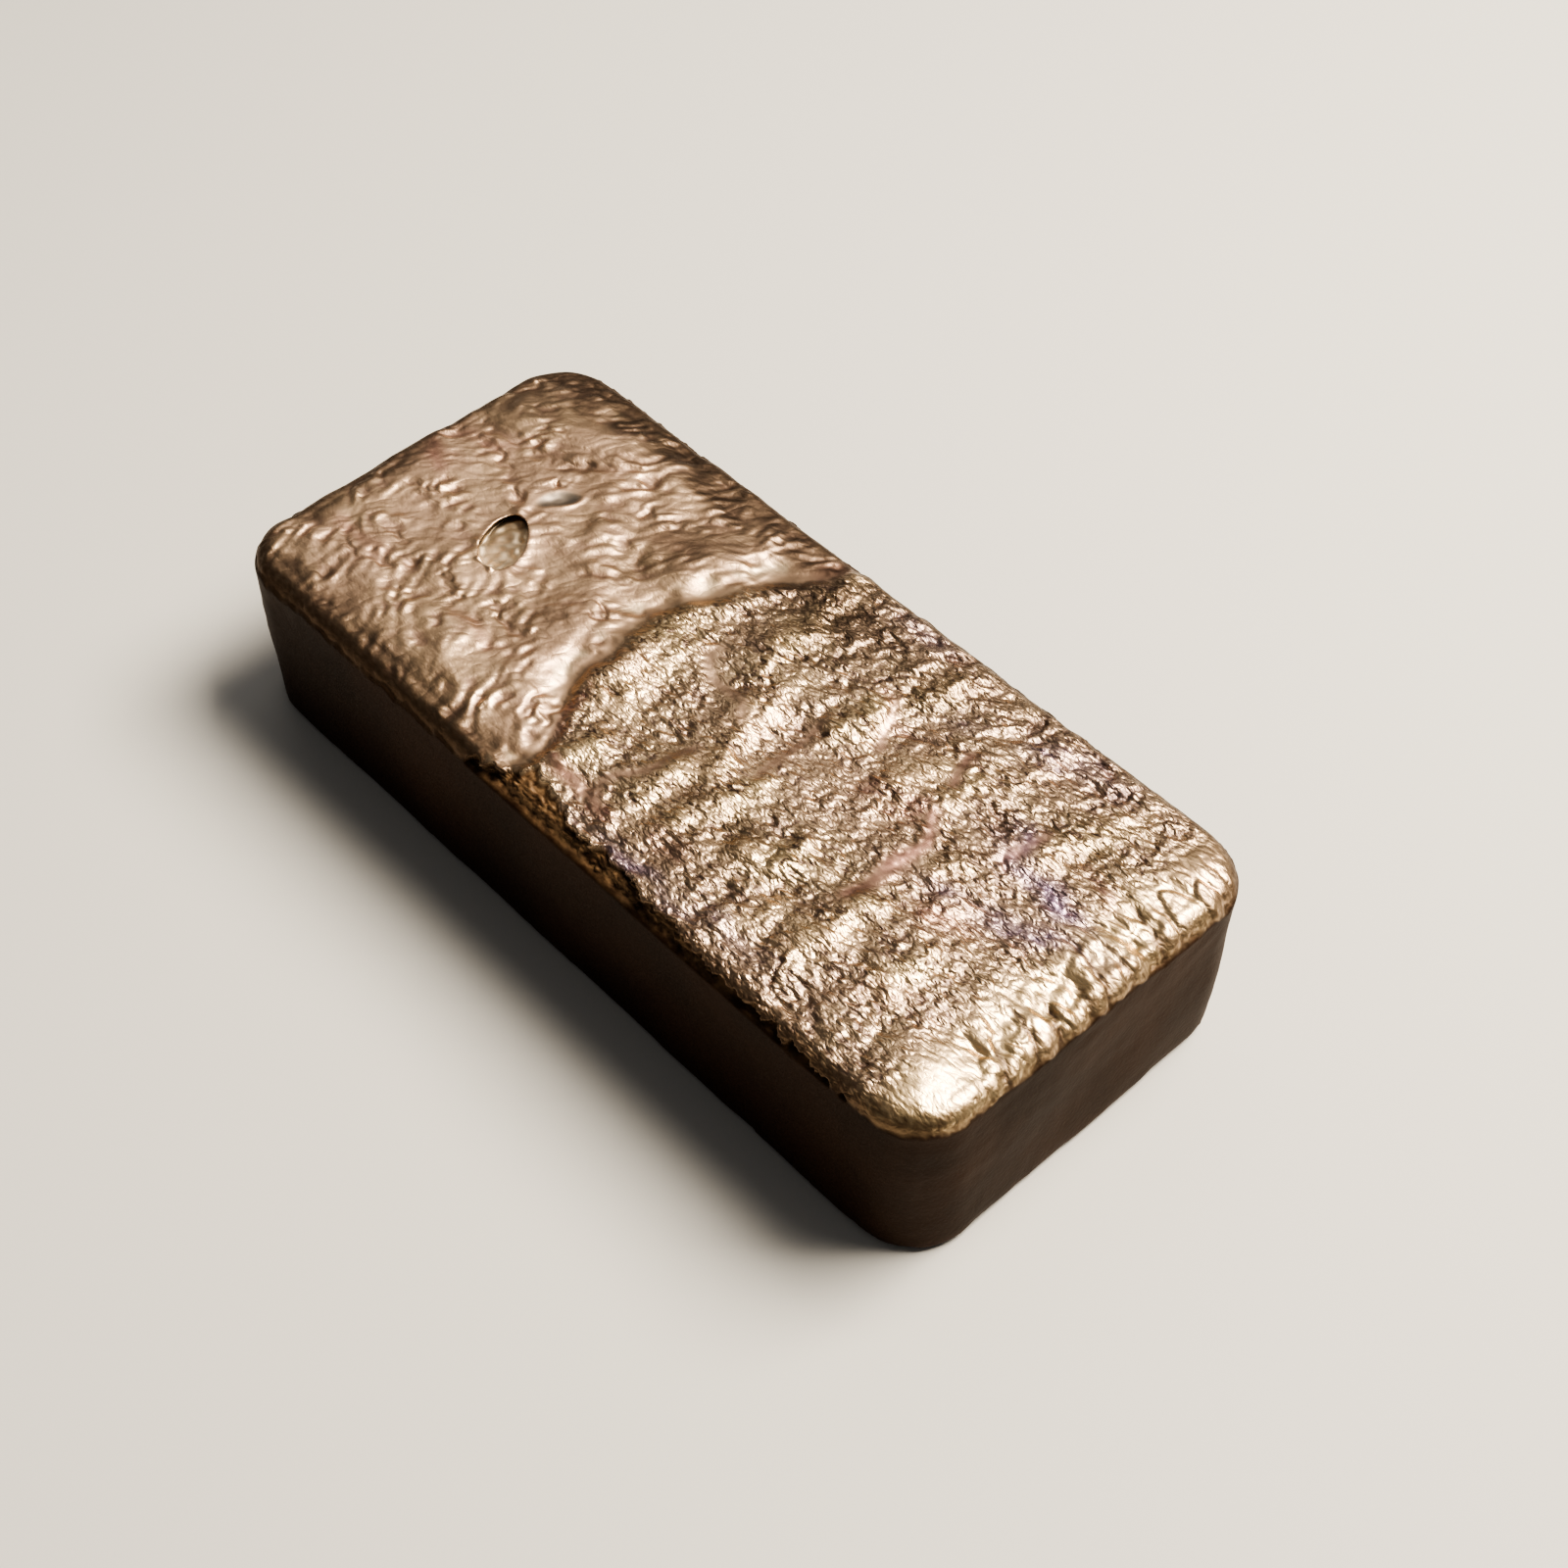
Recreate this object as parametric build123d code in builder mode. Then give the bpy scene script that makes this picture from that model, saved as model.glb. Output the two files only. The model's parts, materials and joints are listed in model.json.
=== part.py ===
from build123d import *
import os

# A hand-poured copper bar, cast in an open mould and left as it cooled. It is one
# casting, so it is one solid. Two pours met on its open face: the second ran in from
# the +X end over the first, and froze along the lap.
# Frame: origin in the middle of the flat base, +X along the bar, +Z up, millimetres.

os.makedirs("parts", exist_ok=True)

# Mould: length and width at its rim. Each wall leans out a little from foot to rim.
LENGTH = 106.0
WIDTH = 48.6
HEIGHT = 22.8
END_DRAFT = 0.2
SIDE_DRAFT = 0.5
CORNER_RADIUS = 7.2
FOOT_FILLET = 1.2
SHOULDER_FILLET = 2.6

# Lap: the second pour stands LAP_STEP above the first, behind a front that runs from
# wall to wall through these points.
LAP_STEP = 0.4
LAP_FRONT = [
    (-3.6, 30.0), (-5.0, 20.5), (-8.8, 15.4), (-11.6, 7.0), (-13.4, 1.0),
    (-12.4, -6.0), (-11.0, -12.0), (-7.6, -18.5), (-7.4, -30.0),
]
LAP_ROUND = 0.3

# Torn lip: the second pour's skin stops short of the -Y wall and leaves a ragged ledge.
LIP_DEPTH = 0.9
LIP_EDGE = -23.0
LIP_START = -6.0
LIP_PITCH = 2.4
LIP_RAGGED = [0.0, 1.6, 0.9, 0.5, 0.2, 0.9, 1.2, 1.0, 0.4, 0.7, 0.1, 0.3, 0.0]

# Gas blister: a burst bubble, an egg-shaped hollow lying just under the first pour's
# skin. Its -X end dips, so the skin there overhangs it.
BLISTER_CENTRE = (-32.1, -2.2)
BLISTER_LENGTH = 8.8
BLISTER_WIDTH = 5.4
BLISTER_SINK = 0.3
BLISTER_TURN = -57.0
BLISTER_TIP = -14.0

# Dimple: a smooth shallow hollow beside the blister, with two pinholes past it.
DIMPLE_CENTRE = (-33.3, 6.0)
DIMPLE_WIDTH = 4.6
DIMPLE_DEPTH = 0.5
PINHOLES = [(-36.3, 8.4), (-38.1, 5.0)]
PINHOLE_RADIUS = 0.55

FIRST_POUR_TOP = HEIGHT - LAP_STEP


def mould_blank(top):
    """The mould's shape filled to a level: drafted walls, worn foot, rounded shoulder."""
    with BuildPart() as blank:
        with BuildSketch(Plane.XY):
            RectangleRounded(LENGTH - 2 * END_DRAFT, WIDTH - 2 * SIDE_DRAFT, CORNER_RADIUS - SIDE_DRAFT)
        with BuildSketch(Plane.XY.offset(HEIGHT)):
            RectangleRounded(LENGTH, WIDTH, CORNER_RADIUS)
        loft(ruled=True)
        split(bisect_by=Plane.XY.offset(top), keep=Keep.BOTTOM)
        fillet(blank.faces().sort_by(Axis.Z)[-1].edges(), SHOULDER_FILLET)
        fillet(blank.faces().sort_by(Axis.Z)[0].edges(), FOOT_FILLET)
    return blank.part


# Second pour: the mould filled to the top, on the +X side of the lap only.
with BuildPart() as second_pour:
    add(mould_blank(HEIGHT))
    with BuildSketch(Plane.XY):
        with BuildLine():
            front = Spline(*LAP_FRONT)
            Polyline(front @ 1, (LENGTH, -30.0), (LENGTH, 30.0), front @ 0)
        make_face()
    extrude(amount=2 * HEIGHT, mode=Mode.INTERSECT)
    rolled_edge = second_pour.faces().sort_by(Axis.Z)[-1].edges().sort_by(Axis.X)[0]
    fillet(rolled_edge, LAP_ROUND)

# Blister: an egg turned about its long axis, then laid and tipped into place.
egg_plane = Plane(
    origin=(BLISTER_CENTRE[0], BLISTER_CENTRE[1], FIRST_POUR_TOP - BLISTER_SINK)
).rotated((0, 0, BLISTER_TURN)).rotated((0, -BLISTER_TIP, 0))
with BuildPart() as blister:
    with BuildSketch(egg_plane):
        Ellipse(BLISTER_LENGTH / 2, BLISTER_WIDTH / 2)
        split(bisect_by=Plane.XZ)
    revolve(axis=Axis(egg_plane.origin, egg_plane.x_dir))

# The casting: both pours as one metal, then the flaws of the open face.
with BuildPart() as ingot:
    add(mould_blank(FIRST_POUR_TOP))
    add(second_pour.part)

    # Torn lip
    lip_points = [
        (LIP_START + index * LIP_PITCH, LIP_EDGE + ragged)
        for index, ragged in enumerate(LIP_RAGGED)
    ]
    with BuildSketch(Plane.XY.offset(HEIGHT - LIP_DEPTH)):
        with BuildLine():
            torn = Polyline(*lip_points)
            Polyline(torn @ 1, (lip_points[-1][0], -WIDTH), (LIP_START, -WIDTH), torn @ 0)
        make_face()
    extrude(amount=2 * LIP_DEPTH, mode=Mode.SUBTRACT)

    # Blister, dimple and pinholes
    add(blister.part, mode=Mode.SUBTRACT)
    dimple_radius = (DIMPLE_WIDTH**2 / 4 + DIMPLE_DEPTH**2) / (2 * DIMPLE_DEPTH)
    with Locations((*DIMPLE_CENTRE, FIRST_POUR_TOP - DIMPLE_DEPTH + dimple_radius)):
        Sphere(dimple_radius, mode=Mode.SUBTRACT)
    with Locations(*[(x, y, FIRST_POUR_TOP) for x, y in PINHOLES]):
        Sphere(PINHOLE_RADIUS, mode=Mode.SUBTRACT)

ingot.part.label = "ingot"
export_step(ingot.part, "parts/ingot.step")
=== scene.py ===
"""Looks of the hand-poured copper bar: one dense mesh of the casting with its open-pour skin,
lap, blister, torn lip and puckers as real geometry, a procedural copper material, a pale
studio floor, soft light and the camera."""
import json
import math

import bpy
import numpy as np
from mathutils import Matrix, Vector

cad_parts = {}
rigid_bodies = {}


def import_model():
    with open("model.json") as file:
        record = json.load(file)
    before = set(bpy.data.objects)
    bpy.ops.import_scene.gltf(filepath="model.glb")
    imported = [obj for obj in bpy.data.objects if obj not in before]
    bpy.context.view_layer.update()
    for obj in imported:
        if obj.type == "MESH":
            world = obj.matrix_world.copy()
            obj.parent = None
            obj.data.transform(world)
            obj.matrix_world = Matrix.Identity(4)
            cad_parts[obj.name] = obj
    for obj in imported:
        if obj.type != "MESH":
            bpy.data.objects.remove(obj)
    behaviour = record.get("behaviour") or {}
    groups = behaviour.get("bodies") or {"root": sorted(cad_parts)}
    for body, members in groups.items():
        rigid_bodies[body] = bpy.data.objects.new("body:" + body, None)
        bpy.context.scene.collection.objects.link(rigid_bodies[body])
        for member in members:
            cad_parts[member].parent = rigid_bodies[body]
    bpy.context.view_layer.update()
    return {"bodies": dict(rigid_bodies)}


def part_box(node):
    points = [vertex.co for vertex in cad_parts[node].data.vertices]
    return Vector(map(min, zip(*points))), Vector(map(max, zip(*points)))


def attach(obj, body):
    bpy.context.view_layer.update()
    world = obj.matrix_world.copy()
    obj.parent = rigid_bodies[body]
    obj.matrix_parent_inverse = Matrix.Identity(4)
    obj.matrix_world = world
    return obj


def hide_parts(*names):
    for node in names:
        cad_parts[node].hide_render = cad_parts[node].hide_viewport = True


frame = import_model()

MM = 0.001
NODE = "ingot"
BODY = list(frame["bodies"])[0]

# The CAD bar's box, in millimetres: half length, half width and height.
low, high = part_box(NODE)
HALF_L = (high[0] - low[0]) / 2 / MM
HALF_W = (high[1] - low[1]) / 2 / MM
TOP = high[2] / MM

# Body, as in the CAD part.
CORNER = 7.2
SHOULDER = 2.6
FOOT = 1.2
SIDE_DRAFT = 0.5
END_DRAFT = 0.2

# How far from the flat, measured over the shoulder, the skin and the torn ledge end.
SKIN_END = SHOULDER * 1.38
LEDGE_END = SHOULDER * 1.62

# Mesh: grid pitch on the open face and the rows of quads down the sides.
PITCH = 0.205
CORNER_CELLS = 24
SHOULDER_ROWS = 19
RIM_ROWS, RIM_STEP = 9, 0.28
WALL_ROWS = 12
LOW_ROWS = 8
FOOT_ROWS = 5

# Lower rows keep every second, then every fourth vertex of the rim, and so does the base.
COARSER, COARSEST = 2, 4

# Noise raster that the skin's relief is drawn on.
CELL = 0.1
SPAN_X, SPAN_Y = 140.0, 84.0


# ---------------------------------------------------------------- small helpers
def smooth(low_edge, high_edge, value):
    """0 below low_edge, 1 above high_edge, smooth between. The edges may be swapped."""
    t = np.clip((value - low_edge) / (high_edge - low_edge), 0.0, 1.0)
    return t * t * (3.0 - 2.0 * t)


def bell(value, width):
    """A bump 1 high at zero and width wide."""
    return np.exp(-((value / width) ** 2))


def curve_points(points, per_span=10):
    """A smooth curve (Catmull-Rom) through the points."""
    p = np.array(points, float)
    p = np.vstack([2 * p[0] - p[1], p, 2 * p[-1] - p[-2]])
    t = np.linspace(0, 1, per_span, endpoint=False)[:, None]
    spans = []
    for a, b, c, d in zip(p[:-3], p[1:-2], p[2:-1], p[3:]):
        spans.append(0.5 * (2 * b + (c - a) * t + (2 * a - 5 * b + 4 * c - d) * t**2
                            + (3 * b - a - 3 * c + d) * t**3))
    spans.append(p[-2][None])
    return np.vstack(spans)


def curve_distance(x, y, points, reach=None):
    """Signed distance to a curve (positive on its left) and how far along it, 0 to 1.
    With a reach, places further than that from the curve's box are left as far away."""
    line = curve_points(points)
    if reach is not None:
        near = ((x > line[:, 0].min() - reach) & (x < line[:, 0].max() + reach)
                & (y > line[:, 1].min() - reach) & (y < line[:, 1].max() + reach))
        far_signed, far_along = np.full(x.shape, 1e3), np.zeros(x.shape)
        far_signed[near], far_along[near] = curve_distance(x[near], y[near], points)
        return far_signed, far_along
    best = np.full(x.shape, 1e9)
    signed = np.zeros(x.shape)
    along = np.zeros(x.shape)
    count = len(line) - 1
    for index in range(count):
        ax, ay = line[index]
        dx, dy = line[index + 1] - line[index]
        length2 = dx * dx + dy * dy + 1e-12
        t = np.clip(((x - ax) * dx + (y - ay) * dy) / length2, 0, 1)
        ex, ey = x - ax - t * dx, y - ay - t * dy
        d = np.hypot(ex, ey)
        nearer = d < best
        best = np.where(nearer, d, best)
        signed = np.where(nearer, np.where(dx * ey - dy * ex > 0, d, -d), signed)
        along = np.where(nearer, (index + t) / count, along)
    return signed, along


def noise_field(seed, wave_along, wave_across, angle=0.0, spread=0.4):
    """Random relief of unit strength whose lumps are wave_along by wave_across mm, turned by
    angle. Spread says how much their size varies."""
    rng = np.random.default_rng(seed)
    nx, ny = int(SPAN_X / CELL), int(SPAN_Y / CELL)
    spectrum = np.fft.rfft2(rng.standard_normal((ny, nx)))
    fx = np.fft.rfftfreq(nx, CELL)[None, :]
    fy = np.fft.fftfreq(ny, CELL)[:, None]
    c, s = math.cos(math.radians(angle)), math.sin(math.radians(angle))
    rate = np.hypot((fx * c + fy * s) * wave_along, (fy * c - fx * s) * wave_across)
    spectrum *= np.exp(-(((rate - 1.0) / spread) ** 2) / 2)
    field = np.fft.irfft2(spectrum, s=(ny, nx))
    return field / field.std()


def sample(field, x, y):
    """Bilinear look-up in a noise field at places in mm."""
    ny, nx = field.shape
    gx, gy = (x + SPAN_X / 2) / CELL, (y + SPAN_Y / 2) / CELL
    ix, iy = np.floor(gx).astype(int), np.floor(gy).astype(int)
    tx, ty = gx - ix, gy - iy
    x0, x1, y0, y1 = ix % nx, (ix + 1) % nx, iy % ny, (iy + 1) % ny
    upper = field[y0, x0] * (1 - tx) + field[y0, x1] * tx
    lower = field[y1, x0] * (1 - tx) + field[y1, x1] * tx
    return upper * (1 - ty) + lower * ty


def facets(seed, x, y, along, across, angle=0.0, tilt_along=0.2, tilt_across=0.3):
    """Crumpled facets, about along by across mm, each with its own random tilt (rise over run),
    and how far a place is from its facet's border: 0 on the border, 1 well inside."""
    rng = np.random.default_rng(seed)
    table = 128
    shift_p, shift_q = rng.uniform(0.08, 0.92, (2, table, table))
    rise_p, rise_q = rng.standard_normal((2, table, table))
    c, s = math.cos(math.radians(angle)), math.sin(math.radians(angle))
    p, q = (x * c + y * s) / along, (y * c - x * s) / across
    cell_p, cell_q = np.floor(p).astype(int), np.floor(q).astype(int)
    nearest, second_nearest = np.full(x.shape, 9.0), np.full(x.shape, 9.0)
    total, weight = np.zeros(x.shape), np.full(x.shape, 1e-9)
    for step_p in (-1, 0, 1):
        for step_q in (-1, 0, 1):
            i, j = cell_p + step_p, cell_q + step_q
            key = (j % table, i % table)
            dp, dq = p - i - shift_p[key], q - j - shift_q[key]
            distance = dp * dp + dq * dq
            share = np.exp(-7.0 * distance)
            rise = rise_p[key] * tilt_along * along * dp + rise_q[key] * tilt_across * across * dq
            total += share * rise
            weight += share
            second_nearest = np.minimum(second_nearest, np.maximum(nearest, distance))
            nearest = np.minimum(nearest, distance)
    inside = smooth(0.0, 0.45, np.sqrt(second_nearest) - np.sqrt(nearest))
    return total / weight, inside


def creased(noise):
    """Round lumps with sharp valleys between them, about unit strength."""
    return 1.6 * (np.sqrt(noise**2 + 0.02) - 0.8)


# ---------------------------------------------------------------- the bar's plain mesh
def corner_map(grid_x, grid_y, half_l, half_w, radius):
    """Moves a rectangle's grid so that its outline gets round corners."""
    sx, sy = np.sign(grid_x), np.sign(grid_y)
    s = np.clip((np.abs(grid_x) - (half_l - radius)) / radius, 0, 1)
    t = np.clip((np.abs(grid_y) - (half_w - radius)) / radius, 0, 1)
    x = np.minimum(np.abs(grid_x), half_l - radius) + radius * s * np.sqrt(1 - t * t / 2)
    y = np.minimum(np.abs(grid_y), half_w - radius) + radius * t * np.sqrt(1 - s * s / 2)
    return sx * x, sy * y


def grid_lines(half, radius, cells, step=1):
    """Grid lines across the face: even between the corners, corner cells in them."""
    straight = half - radius
    middle = np.linspace(-straight, straight, cells // step + 1)
    edge = np.linspace(0, radius, CORNER_CELLS // step + 1)[1:]
    return np.concatenate([-(straight + edge[::-1]), middle, straight + edge])


def ring_of(nx, ny):
    """Indices of a grid's outer vertices in order, anticlockwise from the lowest corner."""
    index = np.arange((nx + 1) * (ny + 1)).reshape(ny + 1, nx + 1)
    return np.concatenate([index[0, :-1], index[:-1, -1], index[-1, :0:-1], index[:0:-1, 0]])


def even_cells(length):
    """Number of cells along a straight stretch: a multiple of COARSEST."""
    return int(round(length / PITCH / COARSEST)) * COARSEST


def plain_bar():
    """Vertices with their normals, unrolled places and distance past the flat, and the faces."""
    inner_l, inner_w = HALF_L - SHOULDER, HALF_W - SHOULDER
    inner_r = CORNER - SHOULDER
    cells_x, cells_y = even_cells(2 * (HALF_L - CORNER)), even_cells(2 * (HALF_W - CORNER))
    lines_x = grid_lines(inner_l, inner_r, cells_x)
    lines_y = grid_lines(inner_w, inner_r, cells_y)
    gx, gy = np.meshgrid(lines_x, lines_y)
    nx, ny = len(lines_x) - 1, len(lines_y) - 1
    x, y = corner_map(gx.ravel(), gy.ravel(), inner_l, inner_w, inner_r)
    ring = ring_of(nx, ny)

    # Outward direction at each ring vertex: away from its corner's centre or its straight side.
    rx, ry = x[ring], y[ring]
    away = np.stack([rx - np.clip(rx, CORNER - HALF_L, HALF_L - CORNER),
                     ry - np.clip(ry, CORNER - HALF_W, HALF_W - CORNER)], 1)
    away /= np.linalg.norm(away, axis=1)[:, None]

    points = [np.stack([x, y, np.full(x.shape, TOP)], 1)]
    normals = [np.tile([0.0, 0.0, 1.0], (len(x), 1))]
    flat = [np.stack([x, y], 1)]
    past = [np.zeros(len(x))]
    faces = []
    index = np.arange(len(x)).reshape(ny + 1, nx + 1)
    corners = [index[:-1, :-1], index[:-1, 1:], index[1:, 1:], index[1:, :-1]]
    faces.append(np.stack(corners, -1).reshape(-1, 4))
    triangles = []
    edge = np.stack([rx, ry], 1)
    draft = np.abs(away) @ np.array([END_DRAFT, SIDE_DRAFT])
    wall_top, wall_foot = TOP - SHOULDER, FOOT

    # The side's profile, row by row: height, inset from the rim, normal's tilt, ring step.
    profile = []
    for row in range(1, SHOULDER_ROWS + 1):
        a = math.pi / 2 * (1 - row / SHOULDER_ROWS)
        profile.append((wall_top + SHOULDER * math.sin(a), SHOULDER * (1 - math.cos(a)), a, 1))
    heights = [(wall_top - RIM_STEP * row, 1) for row in range(1, RIM_ROWS + 1)]
    middle = (heights[-1][0] + wall_foot) / 2
    heights += [(z, COARSER) for z in np.linspace(heights[-1][0], middle, WALL_ROWS + 1)[1:]]
    heights += [(z, COARSEST) for z in np.linspace(middle, wall_foot, LOW_ROWS + 1)[1:]]
    profile += [(z, 0.0, 0.0, step) for z, step in heights]
    for row in range(1, FOOT_ROWS + 1):
        a = -math.pi / 2 * row / FOOT_ROWS
        profile.append((FOOT + FOOT * math.sin(a), FOOT * (1 - math.cos(a)), a, COARSEST))

    upper, step_before = ring, 1
    start, distance = len(x), 0.0
    z_before, inset_before = TOP, SHOULDER
    for z, inset, tilt, step in profile:
        pick = np.arange(0, len(ring), step)
        out = away[pick]
        shift = SHOULDER - inset - draft[pick] * (1 - z / wall_top) * (z < wall_top)
        place = edge[pick] + out * shift[:, None]
        distance += math.hypot(z - z_before, inset - inset_before)
        z_before, inset_before = z, inset
        points.append(np.column_stack([place, np.full(len(pick), z)]))
        normals.append(np.column_stack([out * math.cos(tilt), np.full(len(pick), math.sin(tilt))]))
        flat.append(edge[pick] + out * distance)
        past.append(np.full(len(pick), distance))
        lower = start + np.arange(len(pick))
        start += len(pick)
        after = np.roll(lower, -1)
        if step == step_before:
            faces.append(np.stack([upper, lower, after, np.roll(upper, -1)], 1))
        else:
            first, mid, last = upper[0::2], upper[1::2], np.roll(upper[0::2], -1)
            fan = ((first, lower, mid), (mid, lower, after), (mid, after, last))
            triangles += [np.stack(corners, 1) for corners in fan]
        upper, step_before = lower, step

    # Base: a coarser grid whose outer ring is the last row.
    base_l, base_w = HALF_L - END_DRAFT - FOOT, HALF_W - SIDE_DRAFT - FOOT
    base_r = CORNER - SIDE_DRAFT - FOOT
    base_x = grid_lines(base_l, base_r, cells_x, COARSEST)
    base_y = grid_lines(base_w, base_r, cells_y, COARSEST)
    bx, by = np.meshgrid(base_x, base_y)
    bx, by = corner_map(bx.ravel(), by.ravel(), base_l, base_w, base_r)
    bnx, bny = len(base_x) - 1, len(base_y) - 1
    number = np.full(len(bx), -1)
    number[ring_of(bnx, bny)] = upper
    inside = number < 0
    number[inside] = start + np.arange(inside.sum())
    points.append(np.column_stack([bx[inside], by[inside], np.zeros(inside.sum())]))
    normals.append(np.tile([0.0, 0.0, -1.0], (inside.sum(), 1)))
    flat.append(np.stack([bx[inside], by[inside]], 1))
    past.append(np.full(inside.sum(), distance + 1))
    index = number.reshape(bny + 1, bnx + 1)
    corners = [index[:-1, :-1], index[1:, :-1], index[1:, 1:], index[:-1, 1:]]
    faces.append(np.stack(corners, -1).reshape(-1, 4))
    return (np.vstack(points), np.vstack(normals), np.vstack(flat), np.concatenate(past),
            np.vstack(faces), np.vstack(triangles))


# ---------------------------------------------------------------- relief of the open face
# Places are in mm on the bar, x along it and y across it, from its middle.
LAP = [
    (-4.2, 26), (-4.6, 22.5), (-4.9, 20), (-6.4, 18), (-8.7, 15.6), (-9.5, 13), (-10.6, 9.5), (-12, 6),
    (-13.7, 3), (-13.2, -0.5), (-12.2, -3.5), (-12.1, -8.5), (-11.4, -11.5), (-9.3, -14), (-7.7, -17),
    (-7.2, -20), (-7.6, -23), (-7.6, -26),
]

BLISTER = (-32.0, -2.6)
BLISTER_LONG, BLISTER_SHORT, BLISTER_ANGLE = 4.3, 2.5, -57.0
# The blister's rim and how far round it the mesh is moved, in blister radii, and the heading
# in degrees of the wall that runs under the skin.
BLISTER_GRID, BLISTER_REACH = 1.25, 2.0
UNDERCUT_HEADING = 165

DIMPLE = (-33.2, 6.2)
DIMPLE_LONG, DIMPLE_SHORT, DIMPLE_ANGLE = 2.6, 1.35, 55.0

# A nodule and a flake beside the blister, and the near +X corner's dome and smooth spot.
NODULE = (-35.1, 2.7)
FLAKE = (-30.5, -6.7)
DOME, SMOOTH_SPOT = (48.2, -17.2), (49, -17.4)

# Swells: (points, half width, height). A swell is a long low ridge, steeper on the left of
# the way its points run.
SWELLS = [
    ([(-17, 5), (-19.5, 0), (-17.2, -5), (-16.2, -10), (-14, -15), (-11, -20)], 2.0, 0.26),
    ([(-12, 21), (-13, 16), (-14.5, 10), (-17.5, 5)], 1.8, 0.24),
    ([(-9.9, 10), (-10.4, 4), (-9.6, -2), (-8.8, -8), (-7.4, -12)], 2.2, 0.42),
    ([(-6.6, 3), (-6.8, -2), (-6.2, -7), (-4.4, -12)], 1.7, 0.30),
    ([(-2.2, 22), (-1.7, 17), (-0.3, 12), (0.2, 8), (0.0, 4)], 1.6, 0.30),
    ([(4.0, 6), (4.8, 1), (5.8, -4), (7.2, -8), (5.0, -12), (3.8, -19)], 1.8, 0.44),
    ([(-2.8, -12), (-3.4, -16), (-3.6, -20)], 1.5, 0.30),
    ([(13.2, 12), (12.8, 8), (11.8, 3)], 1.6, 0.40),
    ([(11.5, -3), (11.9, -8), (10.0, -13), (8.8, -18)], 1.6, 0.26),
    ([(22.5, -7), (20, -11), (15.5, -15)], 1.8, 0.42),
    ([(31.2, -6), (29.8, -11), (29.2, -16), (30.6, -21)], 1.9, 0.48),
    ([(22.6, 12), (21.2, 7), (21.6, 2)], 1.6, 0.34),
    ([(33.4, 4), (32.2, 1), (31.0, -3)], 1.2, 0.30),
    ([(26.4, 12), (26.2, 8), (25.6, 5)], 1.3, 0.24),
    ([(16.4, 21), (15.4, 17), (14.5, 13)], 1.5, 0.30),
    ([(39.6, 18), (38.2, 12), (37.4, 7)], 1.6, 0.26),
    ([(24.0, -15), (22.6, -19), (22.2, -22)], 1.5, 0.24),
    ([(39.5, -6), (38.0, -11), (38.4, -16)], 1.6, 0.28),
    ([(29.6, 22), (29.2, 18), (28.6, 14)], 1.5, 0.26),
    ([(-50, 10.5), (-44, 13.5), (-38, 16.5), (-31, 19)], 2.4, 0.30),
    ([(-24.5, 4.5), (-27, 8), (-31, 12)], 2.6, 0.26),
    ([(-46, -16), (-37, -17), (-28, -15.5), (-21, -16.5)], 2.8, 0.22),
]

# Strips: (points, half width, rose). Smooth tan or pink skin between the crumpled parts.
STRIPS = [
    ([(-5.2, 6.5), (-4.4, 3), (-2.4, 1.2), (1, 0.8), (3.8, 0.2), (4.6, -3.6)], 0.75, 0.2),
    ([(4.2, -6), (3.6, -9), (3.2, -12), (1.6, -16), (1.4, -19)], 0.7, 0.3),
    ([(10, 6), (10.4, 2), (10.6, -2), (11.2, -6)], 0.6, 0.3),
    ([(25.6, 6), (27.4, 2.5), (28.4, -2), (28.4, -6), (27, -11)], 0.9, 1.0),
    ([(13.6, 12.4), (15.2, 9.6), (16.2, 5)], 0.6, 0.4),
    ([(23.6, 14), (24.6, 10), (25.2, 7.6)], 0.6, 0.7),
    ([(35.2, 11), (35.8, 7.6), (34.4, 5)], 0.7, 0.9),
    ([(-5.2, -17.4), (-3, -19), (2, -18.6), (4, -20)], 0.9, 0.9),
]

# Heat tints: (x, y, half length, half width, angle, amount).
VIOLETS = [
    (41, 5.4, 6.5, 1.3, -6, 1.0), (42.5, 1.2, 4.5, 1.5, 24, 0.9), (35, 8.6, 3.0, 1.1, -30, 0.6),
    (11, -21.4, 8.0, 0.9, 0, 0.7), (8.5, 21.5, 4.0, 1.4, 0, 0.5), (33, -1.8, 2.4, 1.2, 20, 0.5),
    (20, 15.5, 3.0, 1.5, 30, 0.3), (22, -20, 5.0, 1.4, 0, 0.5), (31, 19.5, 5.5, 2.2, 20, 0.5),
]
ROSES = [
    (-48.6, 1.2, 3.4, 1.5, -25, 1.0), (-47, 6.4, 5.0, 1.0, 6, 0.5), (-5.4, 21.4, 1.6, 2.4, 0, 1.0),
    (-44.5, -13.6, 4.5, 1.0, 4, 0.6), (-24, -13, 4.0, 1.0, 0, 0.5), (3.4, -19.2, 2.6, 1.2, 0, 0.9),
    (35.5, -4.2, 2.6, 1.4, 30, 0.9), (24.6, 3.2, 2.4, 1.4, 60, 0.7), (38.6, -14.4, 3.0, 1.3, 40, 0.5),
    (14, 11.4, 3.4, 1.0, -20, 0.6), (44, 9.6, 3.4, 1.0, -20, 0.5), (-8.4, -13, 0.8, 3.6, 25, 0.8),
    (12, -17.6, 3.0, 1.4, 0, 0.4), (19.6, 2.6, 2.0, 1.0, 40, 0.4), (-20, 10.5, 3.0, 1.2, 30, 0.3),
]

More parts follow.
